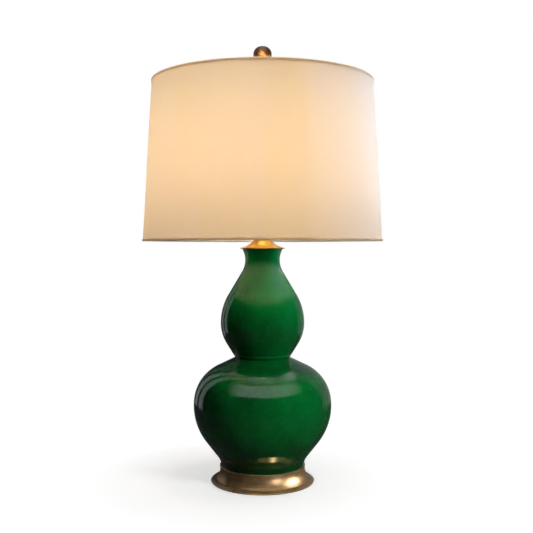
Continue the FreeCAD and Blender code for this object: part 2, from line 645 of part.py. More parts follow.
def turn_switch():
    """Stem and fluted knob, turned about Z and laid along the front."""
    body = new_body("switch_stem")
    tube(body, "stem_r", None, "stem_in", "stem_out - stem_in")
    lay_along_y(body, "switch_z", -1)
    body = new_body("switch_knob")
    revolve(body, [
        ("0", "stem_out"),
        ("stem_r", "stem_out"),
        ("stem_r", "knob_in"),
        ("knob_collar_r", "knob_in"),
        ("knob_collar_r", "knob_collar"),
        ("knob_r", "knob_collar"),
        ("knob_end_r", "knob_out - knob_ease"),
        ("knob_end_r - knob_ease", "knob_out", "knob_ease", 1),
        ("0", "knob_out"),
    ])
    sketch = new_sketch(body, "KnobFlute", "XY_Plane", "knob_collar")
    circle(sketch, "flute_r", "knob_r", "0")
    flute = cut(body, sketch, "knob_out", reverse=True)
    ring = body.newObject("PartDesign::PolarPattern", "KnobFlutes")
    ring.Originals = [flute]
    ring.Axis = (origin_item(body, "Z_Axis"), [""])
    ring.Occurrences = FLUTES
    body.Tip = ring
    lay_along_y(body, "switch_z", -1)


# ---- bulb ----

def bulb():
    """Contact, collar, screw base and hollow glass of a standard pear-shaped bulb."""
    body = new_body("bulb_contact")
    tube(body, "tip_r", None, "tip_low_z", "tip_tall")
    body = new_body("bulb_collar")
    revolve(body, [
        ("0", "tip_low_z + tip_tall"),
        ("collar_low_r", "tip_low_z + tip_tall"),
        ("collar_r", "bulb_base_z"),
        ("0", "bulb_base_z"),
    ])
    body = new_body("bulb_base")
    revolve(body, [
        ("0", "bulb_base_z"),
        ("collar_r", "bulb_base_z"),
        ("bulb_base_r", "bulb_base_z + glass_wall"),
        ("bulb_base_r", "bulb_skirt_z"),
        ("bulb_skirt_r", "bulb_skirt_z + glass_wall"),
        ("bulb_skirt_r", "glass_low_z"),
        ("0", "glass_low_z"),
    ])
    body = new_body("bulb_glass")
    revolve(body, [
        ("0", "glass_low_z"),
        ("glass_neck_r", "glass_low_z"),
        ("glass_neck_r", "glass_neck_z"),
        ("glass_join_r", "glass_join_z", "glass_neck_curve", -1),
        ("glass_r", "glass_top_z - glass_r", "glass_r", 1),
        ("0", "glass_top_z", "glass_r", 1),
        ("0", "glass_top_z - glass_wall"),
        ("glass_r - glass_wall", "glass_top_z - glass_r", "glass_r - glass_wall", -1),
        ("glass_join_r - glass_wall", "glass_join_z", "glass_r - glass_wall", -1),
        ("glass_neck_r - glass_wall", "glass_neck_z", "glass_neck_curve + glass_wall", 1),
        ("glass_neck_r - glass_wall", "glass_low_z + glass_wall"),
        ("0", "glass_low_z + glass_wall"),
    ])


# ---- harp ----

def harp_wire():
    """Bowed wire, half swept and half mirrored, with an eye at its top."""
    body = new_body("harp_wire")
    at = FreeCAD.Vector
    top_r, side_r, foot_r = DIMS["harp_top_curve"], DIMS["harp_side_curve"], DIMS["harp_foot_curve"]
    foot = at(amount("prong_x + harp_foot_curve"), amount("harp_leg_z"), 0)
    side_x = amount("harp_half - harp_side_curve")
    side = at(side_x, foot.y + math.sqrt((side_r + foot_r) ** 2 - (foot.x - side_x) ** 2), 0)
    top_z = amount("harp_top_z - harp_top_curve")
    top = at(side_x + math.sqrt((side_r - top_r) ** 2 - (top_z - side.y) ** 2), top_z, 0)
    shoulder = bearing(side, top)
    bend = bearing(side, foot)
    path = new_sketch(body, "HarpPath")
    start, leg_end = at(0, amount("harp_top_z"), 0), at(amount("prong_x"), amount("prong_z"), 0)
    axis = at(0, 0, 1)
    flat = path.addGeometry(Part.LineSegment(start, at(top.x, start.y, 0)), False)
    crown = path.addGeometry(Part.ArcOfCircle(Part.Circle(top, axis, top_r), shoulder, math.pi / 2), False)
    bow = path.addGeometry(Part.ArcOfCircle(Part.Circle(side, axis, side_r), bend, shoulder), False)
    heel = path.addGeometry(Part.ArcOfCircle(Part.Circle(foot, axis, foot_r), math.pi + bend, math.pi), False)
    leg = path.addGeometry(Part.LineSegment(at(leg_end.x, foot.y, 0), leg_end), False)
    pin(path, flat, 1, "0", "harp_top_z")
    for terms, edge in (("harp_top_curve", crown), ("harp_side_curve", bow), ("harp_foot_curve", heel)):
        size(path, "Radius", terms, edge)
    path.addConstraint(Sketcher.Constraint("Horizontal", flat))
    path.addConstraint(Sketcher.Constraint("Tangent", flat, 2, crown, 2))
    path.addConstraint(Sketcher.Constraint("Tangent", crown, 1, bow, 2))
    path.addConstraint(Sketcher.Constraint("Tangent", bow, 1, heel, 1))
    path.addConstraint(Sketcher.Constraint("Tangent", heel, 2, leg, 1))
    path.addConstraint(Sketcher.Constraint("Vertical", leg))
    pin(path, leg, 2, "prong_x", "prong_z")
    size(path, "DistanceY", "harp_leg_z", -1, 1, leg, 1)
    size(path, "DistanceX", "harp_side_curve - harp_half", bow, 3, -1, 1)
    section = new_sketch(body, "HarpSection", "YZ_Plane")
    circle(section, "harp_wire", "0", "harp_top_z")
    swept = body.newObject("PartDesign::AdditivePipe", "HarpHalf")
    swept.Profile = section
    swept.Spine = path
    doc.recompute()
    both = body.newObject("PartDesign::Mirrored", "HarpBothSides")
    both.Originals = [swept]
    both.MirrorPlane = (origin_item(body, "YZ_Plane"), [""])
    body.Tip = both
    sketch = new_sketch(body, "HarpEye", "XY_Plane", "harp_top_z")
    circle(sketch, "eye_r")
    eye = body.newObject("PartDesign::Pad", "HarpEyePad")
    eye.Profile = sketch
    eye.SideType = "Symmetric"
    eye.setExpression("Length", bound("eye_tall"))
    hole = new_sketch(body, "HarpEyeHole", "XY_Plane", "harp_top_z")
    circle(hole, "eye_hole_r")
    cut(body, hole, "eye_tall + eye_tall", both=True)


def harp_sleeve(side, sign):
    """Sleeve that drops over a prong and the end of the wire above it."""
    body = new_body("harp_sleeve_" + side)
    tube(body, "sleeve_r", "sleeve_bore_r", "prong_step_z", "sleeve_tall")
    body.Placement.Base.x = sign * DIMS["prong_x"]
    body.setExpression("Placement.Base.x", "%d * Dims.prong_x" % sign)


EYE_TOP = "harp_top_z + harp_wire"


def harp_swivel():
    """Riveted post that turns in the eye, with the flange and stud that carry the shade."""
    body = new_body("harp_swivel")
    revolve(body, [
        ("0", "harp_top_z - harp_wire - swivel_gap - rivet_tall"),
        ("rivet_r", "harp_top_z - harp_wire - swivel_gap - rivet_tall"),
        ("rivet_r", "harp_top_z - harp_wire - swivel_gap"),
        ("swivel_post", "harp_top_z - harp_wire - swivel_gap"),
        ("swivel_post", EYE_TOP + " + swivel_gap"),
        ("flange_r", EYE_TOP + " + swivel_gap"),
        ("flange_r", EYE_TOP + " + swivel_gap + flange_tall"),
        ("stud_r", EYE_TOP + " + swivel_gap + flange_tall"),
        ("stud_r", EYE_TOP + " + swivel_gap + flange_tall + stud_tall - stud_ease"),
        ("stud_r - stud_ease", EYE_TOP + " + swivel_gap + flange_tall + stud_tall"),
        ("0", EYE_TOP + " + swivel_gap + flange_tall + stud_tall"),
    ])


# ---- shade ----

HUB = EYE_TOP + " + swivel_gap + flange_tall + hub_gap"


def shade_skin():
    body = new_body("shade_skin")
    revolve(body, [
        ("shade_low_r - shade_wall", "shade_low_z"),
        ("shade_low_r", "shade_low_z"),
        ("shade_top_r", "shade_top_z"),
        ("shade_top_r - shade_wall", "shade_top_z"),
    ])


def shade_ring(name, radius, rise):
    """Wire hoop inside an edge of the shade."""
    hoop = doc.addObject("Part::Torus", name)
    hoop.Label = name
    hoop.setExpression("Radius1", bound(radius))
    hoop.setExpression("Radius2", bound("ring_wire"))
    hoop.setExpression("Placement.Base.z", bound(rise))
    parts.append(hoop)


def shade_trims():
    """Folded tape over each edge: a band outside and a turn over the rim."""
    body = new_body("shade_top_trim")
    revolve(body, [
        ("shade_top_r - trim_in", "shade_top_z + trim_clear"),
        ("shade_top_r + trim_gap", "shade_top_z + trim_clear"),
        ("shade_top_r + trim_gap", "shade_top_z - trim_tall"),
        ("shade_top_r + trim_gap + trim_wall", "shade_top_z - trim_tall"),
        ("shade_top_r + trim_gap + trim_wall", "shade_top_z + trim_over"),
        ("shade_top_r - trim_in", "shade_top_z + trim_over"),
    ])
    body = new_body("shade_bottom_trim")
    revolve(body, [
        ("shade_low_r - trim_in", "shade_low_z - trim_over"),
        ("shade_low_r + trim_gap + trim_wall", "shade_low_z - trim_over"),
        ("shade_low_r + trim_gap + trim_wall", "shade_low_z + trim_tall"),
        ("shade_low_r + trim_gap", "shade_low_z + trim_tall"),
        ("shade_low_r + trim_gap", "shade_low_z - trim_clear"),
        ("shade_low_r - trim_in", "shade_low_z - trim_clear"),
    ])


def spider_fitter():
    """Hub washer with three arms that rise to the top hoop."""
    body = new_body("spider_fitter")
    tube(body, "hub_r", "hub_hole_r", HUB, "hub_tall", "Hub")
    across = DIMS["top_ring_r"] - DIMS["arm_start"]
    rise = DIMS["top_ring_z"] - amount(HUB + " + arm_r")
    lean = FreeCAD.Rotation(FreeCAD.Vector(1, 0, 0), math.degrees(math.atan2(rise, across)) - 90)
    start = FreeCAD.Vector(0, DIMS["arm_start"], amount(HUB + " + arm_r"))
    arm = body.newObject("PartDesign::AdditiveCylinder", "Arm")
    arm.AttachmentSupport = [(origin_item(body, "XY_Plane"), "")]
    arm.MapMode = "FlatFace"
    arm.AttachmentOffset = FreeCAD.Placement(start, lean)
    arm.setExpression("AttachmentOffset.Base.y", bound("arm_start"))
    arm.setExpression("Radius", bound("arm_r"))
    arm.setExpression("Height", "sqrt((%s)^2 + (%s)^2)" % (
        bound("top_ring_r - arm_start"), bound("top_ring_z - " + HUB.replace(" + ", " - ") + " - arm_r")))
    doc.recompute()
    arms = body.newObject("PartDesign::PolarPattern", "Arms")
    arms.Originals = [arm]
    arms.Axis = (origin_item(body, "Z_Axis"), [""])
    arms.Angle = 360.0
    arms.Occurrences = ARMS
    body.Tip = arms


def finial():
    """Turned finial: threaded collar, vase-shaped stalk and a flattened ball with a dimple."""
    body = new_body("finial")
    foot = HUB + " + hub_tall + hub_gap"
    revolve(body, [
        ("0", foot + " + stud_bore_tall"),
        ("stud_bore_r", foot + " + stud_bore_tall"),
        ("stud_bore_r", foot),
        ("collar_foot_r", foot),
        ("collar_foot_r", foot + " + collar_foot_tall"),
        ("stalk_r", "stalk_z", "cove_curve", -1),
        ("vase_r", "vase_z", "vase_curve", 1),
        ("throat_r", "throat_z", "throat_curve", -1),
        ("disc_r", "disc_z"),
        ("disc_r", "disc_z + disc_tall", "disc_curve", 1),
        ("ball_neck_r", "ball_neck_z"),
        ("ball_r", "ball_z", "ball_under", 1),
        ("crown_r", "crown_z", "ball_over", 1),
        ("0", "crown_z - dimple", "dimple_curve", -1),
    ])


def write_parts():
    """Checks every object and shape, then writes one file for each sub-part."""
    doc.recompute()
    failed = [item.Name + " " + item.getStatusString() for item in doc.Objects
              if "Invalid" in item.State or "Error" in item.State]
    if failed:
        raise RuntimeError("failed objects: " + ", ".join(failed))
    for part in parts:
        if part.Shape.isNull() or not part.Shape.isValid():
            raise RuntimeError(part.Label + " has no valid shape")
    os.makedirs("parts", exist_ok=True)
    for part in parts:
        part.Shape.exportStep("parts/%s.step" % part.Label)
        print("%-20s %10.1f mm3  %d solid(s)" % (part.Label, part.Shape.Volume, len(part.Shape.Solids)))


felt_pad()
turned_base()
cord_bush()
clamp_stack()
gourd_body()
vase_cap()
check_ring()
harp_saddle()
socket_cap()
socket_shell()
socket_insulator()
socket_core()
socket_contacts()
terminal_screws()
turn_switch()
bulb()
harp_wire()
harp_sleeve("left", -1)
harp_sleeve("right", 1)
harp_swivel()
shade_skin()
shade_ring("shade_bottom_ring", "low_ring_r", "low_ring_z")
shade_ring("shade_top_ring", "top_ring_r", "top_ring_z")
shade_trims()
spider_fitter()
finial()
write_parts()
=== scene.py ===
import json
import math

import bpy
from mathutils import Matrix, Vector


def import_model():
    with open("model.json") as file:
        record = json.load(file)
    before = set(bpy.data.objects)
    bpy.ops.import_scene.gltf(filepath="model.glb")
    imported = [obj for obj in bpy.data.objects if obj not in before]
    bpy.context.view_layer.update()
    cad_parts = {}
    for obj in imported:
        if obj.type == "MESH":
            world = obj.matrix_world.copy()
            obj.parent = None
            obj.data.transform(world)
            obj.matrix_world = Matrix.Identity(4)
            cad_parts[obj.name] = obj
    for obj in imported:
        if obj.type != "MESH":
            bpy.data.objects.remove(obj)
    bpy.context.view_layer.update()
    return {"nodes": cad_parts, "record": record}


# A glazed double gourd table lamp with its shade lit from inside. Metres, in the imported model's frame: the
# lamp's axis is Z, and its front is towards -Y, where the camera stands.

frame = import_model()
nodes = frame["nodes"]

# ---- the photograph's camera ----
PHOTO_WIDTH = 533          # px
FOCAL = 791.2              # px, from the ellipses of the shade's rims
SENSOR_MM = 36.0
CAMERA_BACK = 1.440        # from the lamp's axis
CAMERA_HEIGHT = 0.427
CAMERA_PITCH = math.radians(1.39)
AXIS_OFFSET = 4.0          # px by which the lamp's axis lies left of the picture's centre


# ---- shader helpers ----

def put(tree, kind, inputs, out=0, **settings):
    """Adds a shader node and returns one of its outputs. Each input is a value or another node's output."""
    made = tree.nodes.new("ShaderNode" + kind)
    for name, value in settings.items():
        setattr(made, name, value)
    for key, value in inputs.items():
        if isinstance(value, bpy.types.NodeSocket):
            tree.links.new(value, made.inputs[key])
        else:
            made.inputs[key].default_value = value
    return made.outputs[out] if made.outputs else None


def math_node(tree, operation, first, second=0.0):
    return put(tree, "Math", {0: first, 1: second}, operation=operation)


def colour(red, green, blue):
    """A colour as a shader takes it, with its fourth channel."""
    return (red, green, blue, 1.0)


def scaled(tint, share):
    """A colour's three channels, each times share."""
    return tuple(channel * share for channel in tint)


def mix(tree, factor, first, second):
    """The colour between first and second."""
    return put(tree, "Mix", {0: factor, 6: first, 7: second}, out=2, data_type="RGBA")


def spread(tree, value, low, high, to_low=0.0, to_high=1.0):
    """Maps low..high of a value to to_low..to_high, and clamps it."""
    return put(tree, "MapRange", {0: value, 1: low, 2: high, 3: to_low, 4: to_high})


def place(tree, scale=(1, 1, 1)):
    """The point in the lamp's own frame, stretched by scale."""
    point = put(tree, "TexCoord", {}, out=3)
    return put(tree, "Mapping", {0: point, 3: scale})


def height_of(tree):
    """The point's height in the lamp's own frame."""
    return put(tree, "SeparateXYZ", {0: place(tree)}, out=2)


def band(tree, height, middle, half, strength):
    """strength at the height middle, fading to nothing at the distance half above and below it."""
    away = math_node(tree, "ABSOLUTE", math_node(tree, "SUBTRACT", height, middle))
    return spread(tree, away, 0.0, half, strength, 0.0)


def noise(tree, where, scale, detail, rough):
    return put(tree, "TexNoise", {"Vector": where, "Scale": scale, "Detail": detail, "Roughness": rough})


def bump(tree, height, distance, strength=1.0):
    """distance is the relief's depth in metres."""
    return put(tree, "Bump", {"Height": height, "Distance": distance, "Strength": strength})


def new_material(name):
    """An empty material and its node tree."""
    material = bpy.data.materials.new(name)
    material.use_nodes = True
    material.node_tree.nodes.clear()
    return material, material.node_tree


def close(material, shader):
    """Wires the finished shader to the material's output."""
    put(material.node_tree, "OutputMaterial", {"Surface": shader})
    return material


# ---- materials ----

# Bands of painted shade, at heights where the glaze also pools thick: (height, half the band's height,
# darkness).
POOLED_SHADE_BANDS = [(0.032, 0.075, 0.75), (0.215, 0.030, 0.45), (0.262, 0.045, 0.25)]
# A painted highlight: a thin bright green line along the waist: (height, half its height, strength).
CREASE_HIGHLIGHT = (0.2330, 0.0020, 0.8)


def glaze():
    """Emerald glaze: cloudy, with painted shade in bands where it also pools, a painted highlight along the
    waist, milky specks, and a clear wet surface.
    """
    deep, light = colour(0.0010, 0.135, 0.022), colour(0.0014, 0.250, 0.040)
    milk, ring = colour(0.020, 0.28, 0.090), colour(0.0008, 0.120, 0.020)
    # The third pair holds a painted-shade colour and a painted-highlight colour.
    pooled_shade, crease_highlight = colour(0.0004, 0.030, 0.007), colour(0.02, 0.48, 0.13)
    material, tree = new_material("glaze")
    height = height_of(tree)
    rings = noise(tree, place(tree, (3, 3, 150)), 1.0, 5.0, 0.6)
    clouds = noise(tree, place(tree, (1, 1, 0.6)), 22.0, 6.0, 0.62)
    specks = noise(tree, place(tree), 160.0, 4.0, 0.65)
    body = mix(tree, spread(tree, clouds, 0.32, 0.68), deep, light)
    body = mix(tree, spread(tree, specks, 0.52, 0.74, to_high=0.50), body, milk)
    body = mix(tree, spread(tree, rings, 0.40, 0.75, to_high=0.16), body, ring)
    # Painted shade: darker bands at the foot and below and above the waist.
    for shade_band in POOLED_SHADE_BANDS:
        body = mix(tree, band(tree, height, *shade_band), body, pooled_shade)
    # Painted highlight along the waist.
    body = mix(tree, band(tree, height, *CREASE_HIGHLIGHT), body, crease_highlight)
    relief = math_node(tree, "ADD", math_node(tree, "MULTIPLY", rings, 0.4), clouds)
    shader = put(tree, "BsdfPrincipled", {
        "Base Color": body, "Roughness": 0.5, "IOR": 1.5, "Specular IOR Level": 0.0,
        "Coat Weight": 1.0, "Coat Roughness": 0.03, "Coat IOR": 1.5,
        "Normal": bump(tree, relief, 0.0004), "Coat Normal": bump(tree, relief, 0.0005)})
    return close(material, shader)


def gilt():
    """Antique gold over brown wood, rubbed thin in streaks round the turning."""
    dull, bright = colour(0.46, 0.285, 0.125), colour(0.66, 0.43, 0.20)
    wood, pit = colour(0.22, 0.115, 0.05), colour(0.10, 0.055, 0.03)
    material, tree = new_material("gilt_wood")
    point = place(tree)
    grain = noise(tree, place(tree, (6, 6, 300)), 1.0, 5.0, 0.65)
    patches = noise(tree, point, 60.0, 6.0, 0.65)
    pits = noise(tree, point, 420.0, 3.0, 0.6)
    body = mix(tree, spread(tree, patches, 0.35, 0.65), dull, bright)
    body = mix(tree, spread(tree, grain, 0.52, 0.74, to_high=0.65), body, wood)
    body = mix(tree, spread(tree, pits, 0.66, 0.74, to_high=0.6), body, pit)
    relief = math_node(tree, "ADD", math_node(tree, "ADD", grain, patches), pits)
    shader = put(tree, "BsdfPrincipled", {
        "Base Color": body, "Metallic": 0.5, "Roughness": spread(tree, patches, 0.3, 0.7, 0.27, 0.42),
        "Normal": bump(tree, relief, 0.00022)})
    return close(material, shader)


def metal(name, base, rough, scale=90.0, dark=0.75):
    """Metal with a faintly uneven polish. dark is the share of base that its darker patches keep."""
    material, tree = new_material(name)
    cloud = noise(tree, place(tree), scale, 4.0, 0.6)
    patch = colour(*scaled(base, dark))
    shader = put(tree, "BsdfPrincipled", {
        "Base Color": mix(tree, spread(tree, cloud, 0.35, 0.65), patch, colour(*base)),
        "Metallic": 1.0, "Roughness": spread(tree, cloud, 0.3, 0.7, rough, rough * 1.5),
        "Normal": bump(tree, cloud, 0.00008)})
    return close(material, shader)


CROWN_Z = (0.768, 0.784)   # heights between which painted shade darkens the finial towards its crown
CROWN_SHADE = 0.36


def patina():
    """Old turned brass, mottled dark brown on gold, with painted shade that darkens its crown."""
    brown, gold = colour(0.25, 0.14, 0.09), colour(0.90, 0.47, 0.13)
    material, tree = new_material("old_brass")
    blots = noise(tree, place(tree), 150.0, 6.0, 0.7)
    # Painted shade: the finial's crown is darker than its lower half.
    crown = spread(tree, height_of(tree), *CROWN_Z, to_high=CROWN_SHADE)
    tarnish_and_shade = spread(tree, math_node(tree, "SUBTRACT", blots, crown), 0.34, 0.52)
    shader = put(tree, "BsdfPrincipled", {
        "Base Color": mix(tree, tarnish_and_shade, brown, gold),
        "Metallic": 1.0, "Roughness": spread(tree, blots, 0.3, 0.7, 0.55, 0.38),
        "Normal": bump(tree, blots, 0.0004)})
    return close(material, shader)


SHADE_R = 0.207            # the shade's radius halfway up
SHADE_THREAD = 0.0009      # one thread over and one under
SHADE_RELIEF = 0.00012


def weave(tree):
    """Height of a plain weave, from the threads' waves round and along the shade."""
    point = put(tree, "SeparateXYZ", {0: put(tree, "TexCoord", {}, out=3)}).node.outputs
    angle = math_node(tree, "ARCTAN2", point[0], math_node(tree, "MULTIPLY", point[1], -1.0))
    across = math_node(tree, "MULTIPLY", angle, SHADE_R)
    turns = 2 * math.pi / SHADE_THREAD
    warp = math_node(tree, "SINE", math_node(tree, "MULTIPLY", across, turns))
    weft = math_node(tree, "SINE", math_node(tree, "MULTIPLY", point[2], turns))
    return math_node(tree, "MULTIPLY", warp, weft)


def shade_cloth(name, base, passed, share):
    """Woven cloth on a stiff sheet. share of it passes light from inside, which takes the colour passed.

    What it passes turns a little more golden in faint upright bands."""
    material, tree = new_material(name)
    slubs = noise(tree, place(tree, (1, 1, 9)), 45.0, 4.0, 0.6)
    dark = colour(*scaled(base, 0.94))
    relief = bump(tree, weave(tree), SHADE_RELIEF, 0.6)
    front = put(tree, "BsdfPrincipled", {
        "Base Color": mix(tree, spread(tree, slubs, 0.3, 0.7), dark, colour(*base)),
        "Roughness": 0.85, "Specular IOR Level": 0.2, "Sheen Weight": 0.1, "Normal": relief})
    bands = noise(tree, place(tree, (1, 1, 0.12)), 13.0, 2.0, 0.5)
    golden = colour(passed[0], passed[1] * 0.985, passed[2] * 0.93)
    tinted = mix(tree, spread(tree, bands, 0.38, 0.62), colour(*passed), golden)
    through = put(tree, "BsdfTranslucent", {"Color": tinted, "Normal": relief})
    return close(material, put(tree, "MixShader", {0: share, 1: front, 2: through}))


def fine(name, base, dark, grain, relief, surface):
    """A plain colour with an even fine grain, given as the noise's scale, detail and roughness.

    dark is the share of base that its darker spots keep. surface holds the shader's other values."""
    material, tree = new_material(name)
    spots = noise(tree, place(tree), *grain)
    body = mix(tree, spots, colour(*scaled(base, dark)), colour(*base))
    normal = bump(tree, spots, relief)
    shader = put(tree, "BsdfPrincipled", {"Base Color": body, "Normal": normal, **surface})
    return close(material, shader)


def felt():
    """Dense dark felt."""
    surface = {"Roughness": 0.9, "Sheen Weight": 0.2}
    return fine("felt", (0.03, 0.035, 0.03), 0.7, (1250.0, 3.0, 0.6), 0.0002, surface)


def plastic(name, base, rough):
    """Moulded plastic or pressed fibre with a fine grain."""
    return fine(name, base, 0.8, (900.0, 2.0, 0.5), 0.00003, {"Roughness": rough})


BULB_LIGHT = (1.0, 0.82, 0.61)
NECK_LIGHT = (0.9, 0.62, 0.35)
BULB_STRENGTH = 41.0
NECK_SHARE = 0.2           # of that strength, at the bulb's neck
NECK_Z = (0.525, 0.555)    # heights between which the glass brightens
NECK_TINT_Z = (0.52, 0.55)  # heights between which it changes from the neck's colour to the bulb's


def lit_glass():
    """Frosted bulb glass, lit evenly from inside and dimmer at its neck."""
    material, tree = new_material("bulb_glass")
    frost = noise(tree, place(tree), 400.0, 2.0, 0.5)
    height = height_of(tree)
    glow = mix(tree, spread(tree, height, *NECK_TINT_Z), colour(*NECK_LIGHT), colour(*BULB_LIGHT))
    strength = spread(tree, height, *NECK_Z, BULB_STRENGTH * NECK_SHARE, BULB_STRENGTH)
    shader = put(tree, "BsdfPrincipled", {
        "Base Color": colour(0.95, 0.93, 0.88), "Roughness": 0.35, "Emission Color": glow,
        "Emission Strength": strength, "Normal": bump(tree, frost, 0.00005)})
    return close(material, shader)


FINISHES = {
    "felt": felt(),
    "gilt_wood": gilt(),
    "steel": metal("steel", (0.56, 0.56, 0.57), 0.30),
    "glaze": glaze(),
    "brass": metal("brass", (0.78, 0.42, 0.07), 0.36, 60.0, 0.65),
    "old_brass": patina(),
    "fibre": plastic("fibre", (0.30, 0.22, 0.14), 0.8),
    "phenolic": plastic("phenolic", (0.05, 0.04, 0.035), 0.5),
    "bush_plastic": plastic("bush_plastic", (0.09, 0.06, 0.035), 0.5),
    "knob_plastic": plastic("knob_plastic", (0.02, 0.018, 0.016), 0.25),
    "bulb_metal": metal("bulb_metal", (0.75, 0.75, 0.74), 0.25),
    "bulb_glass": lit_glass(),
    "shade_fabric": shade_cloth("shade_fabric", (0.88, 0.82, 0.74), (0.94, 0.855, 0.75), 0.75),
    "shade_tape": shade_cloth("shade_tape", (0.90, 0.81, 0.71), (1.0, 0.92, 0.82), 0.9),
    "white_wire": plastic("white_wire", (0.82, 0.81, 0.78), 0.4),
}


def dress_nodes():
    """Gives every CAD node its slot's finish."""
    for part in frame["record"]["subparts"]:
        node = nodes[part["node"]]
        for index in range(len(node.data.materials)):
            node.material_slots[index].material = FINISHES[part["material_slot"]]


# ---- stage ----

def toward(azimuth, elevation, reach, centre=(0, 0, 0)):
    """The point that far from centre. Both angles are in degrees.

    azimuth is counted from the camera's side, positive to the right."""
    flat = reach * math.cos(math.radians(elevation))
    turn = math.radians(azimuth)
    return Vector(centre) + Vector((flat * math.sin(turn), -flat * math.cos(turn),
                                    reach * math.sin(math.radians(elevation))))


def on_ring(azimuth, radius, height):
    """The point at that height and that distance from the lamp's axis."""
    return toward(azimuth, 0, radius, (0, 0, height))


def stage_mesh(name, corners, material):
    """A flat stage piece with those corners."""
    mesh = bpy.data.meshes.new(name)
    mesh.from_pydata(corners, [], [tuple(range(len(corners)))])
    mesh.materials.append(material)
    piece = bpy.data.objects.new(name, mesh)
    bpy.context.scene.collection.objects.link(piece)
    return piece


WHITE = (1.0, 1.0, 1.0)
FLOOR_HALF = 12.0
SHADOW_SHIFT = (0.045, -0.02, 0.0)  # moves the shadowed zone to the left of the lamp and behind it
SHADOW_FADE = (0.12, 0.27)  # the floor turns white between these distances from the zone's middle
FLOOR_LIFT = 0.66          # light that the floor adds to what the camera sees of it
FLOOR_SEEN = 0.80          # the floor's grey for the camera
FLOOR_UNSEEN = 0.22        # its grey for the light that it throws back on the lamp


def floor():
    """A pale floor that keeps the shadow near the lamp and turns plain white further off.

    From below the camera looks through it."""
    material, tree = new_material("floor")
    shifted = put(tree, "Mapping", {0: put(tree, "TexCoord", {}, out=3), 1: SHADOW_SHIFT})
    far = put(tree, "VectorMath", {0: shifted}, out=1, operation="LENGTH")
    edge = spread(tree, far, *SHADOW_FADE)
    seen = put(tree, "LightPath", {})
    white = put(tree, "Emission", {"Color": colour(*WHITE), "Strength": 1.0})
    lift = put(tree, "Emission", {
        "Color": colour(*WHITE), "Strength": math_node(tree, "MULTIPLY", seen, FLOOR_LIFT)})
    grey = mix(tree, seen, colour(*scaled(WHITE, FLOOR_UNSEEN)), colour(*scaled(WHITE, FLOOR_SEEN)))
    near = put(tree, "AddShader", {0: put(tree, "BsdfDiffuse", {"Color": grey}), 1: lift})
    top = put(tree, "MixShader", {0: math_node(tree, "MULTIPLY", edge, seen), 1: near, 2: white})
    behind = put(tree, "NewGeometry", {}).node.outputs["Backfacing"]
    below = math_node(tree, "MULTIPLY", behind, seen)
    close(material, put(tree, "MixShader", {0: below, 1: top, 2: put(tree, "BsdfTransparent", {})}))
    half = FLOOR_HALF
    stage_mesh("floor", [(-half, -half, 0), (half, -half, 0), (half, half, 0), (-half, half, 0)], material)


AMBIENT = 0.022


def world():
    """White to the camera, in reflections and through the shade's cloth. Dim grey light on the object."""
    made = bpy.data.worlds.new("studio")
    bpy.context.scene.world = made
    made.use_nodes = True
    tree = made.node_tree
    tree.nodes.clear()
    paths = put(tree, "LightPath", {}).node.outputs
    mirrored = math_node(tree, "MAXIMUM", paths["Is Glossy Ray"], paths["Is Transmission Ray"])
    shown = math_node(tree, "MAXIMUM", paths["Is Camera Ray"], mirrored)
    strength = spread(tree, shown, 0.0, 1.0, AMBIENT, 1.0)
    back = put(tree, "Background", {"Color": colour(*WHITE), "Strength": strength})
    put(tree, "OutputWorld", {"Surface": back})


# ---- lights ----

GOURD_AIM = (0, 0, 0.12)
SHADE_AIM = (0, 0, 0.62)
DAYLIGHT = (1.0, 0.99, 0.97)
COOL = (0.20, 0.52, 1.0)
KEY_POWER = 0.42
WINDOW_POWER = 2.0
BACK_POWER = 2.0
TOP_POWER = 5.5
TOP_PLACE = (0.2, -0.3, 2.4)
TOP_AIM = (0, 0, 0.4)

# The bulb's glow on the shade comes from upright strips in a ring round the bulb. Those on the side of the
# cool window are weaker.
GLOW_STRIPS = 12
GLOW_PLACE = (0.045, 0.57)  # radius and height of each strip
GLOW_AIM = (0.30, 0.55)    # and of the spot that it points at
GLOW_SIZE = (0.03, 0.28)
GLOW_BEAM = 130.0
GLOW_POWER = 0.080
GLOW_TINT = (1.0, 0.79, 0.54)
GLOW_WEAK_ARC = (30, 120)
GLOW_WEAK_SHARE = 0.72


def area_light(name, where, target, size, power, tint, beam=180.0):
    """A soft box that lights surfaces but doesn't show in reflections. beam is its spread in degrees."""
    lamp = bpy.data.lights.new(name, "AREA")
    lamp.shape = "RECTANGLE"
    lamp.size, lamp.size_y = size
    lamp.energy = power
    lamp.color = tint
    lamp.spread = math.radians(beam)
    holder = bpy.data.objects.new(name, lamp)
    bpy.context.scene.collection.objects.link(holder)
    holder.location = where
    holder.rotation_euler = (Vector(target) - Vector(where)).to_track_quat("-Z", "Y").to_euler()
    holder.visible_glossy = False
    return holder


def lights():
    """A narrow key on the gourd, a cool window on the shade's right, two fills, and the shade's glow."""
    key = toward(48, 25, 2.2, GOURD_AIM)
    window = toward(105, 0, 2.0, SHADE_AIM)
    back = toward(-172, 35, 2.2, GOURD_AIM)
    area_light("key", key, GOURD_AIM, (0.45, 0.45), KEY_POWER, DAYLIGHT, 21.0)
    area_light("window", window, SHADE_AIM, (0.5, 0.3), WINDOW_POWER, COOL, 17.0)
    area_light("back_fill", back, GOURD_AIM, (1.2, 1.2), BACK_POWER, WHITE)
    area_light("top", TOP_PLACE, TOP_AIM, (1.5, 1.5), TOP_POWER, DAYLIGHT)
    for step in range(GLOW_STRIPS):
        azimuth = (step + 0.5) * 360 / GLOW_STRIPS
        weak = GLOW_WEAK_ARC[0] < azimuth < GLOW_WEAK_ARC[1]
        power = GLOW_POWER * (GLOW_WEAK_SHARE if weak else 1.0)
        area_light("glow_%d" % step, on_ring(azimuth, *GLOW_PLACE), on_ring(azimuth, *GLOW_AIM),
                   GLOW_SIZE, power, GLOW_TINT, GLOW_BEAM)


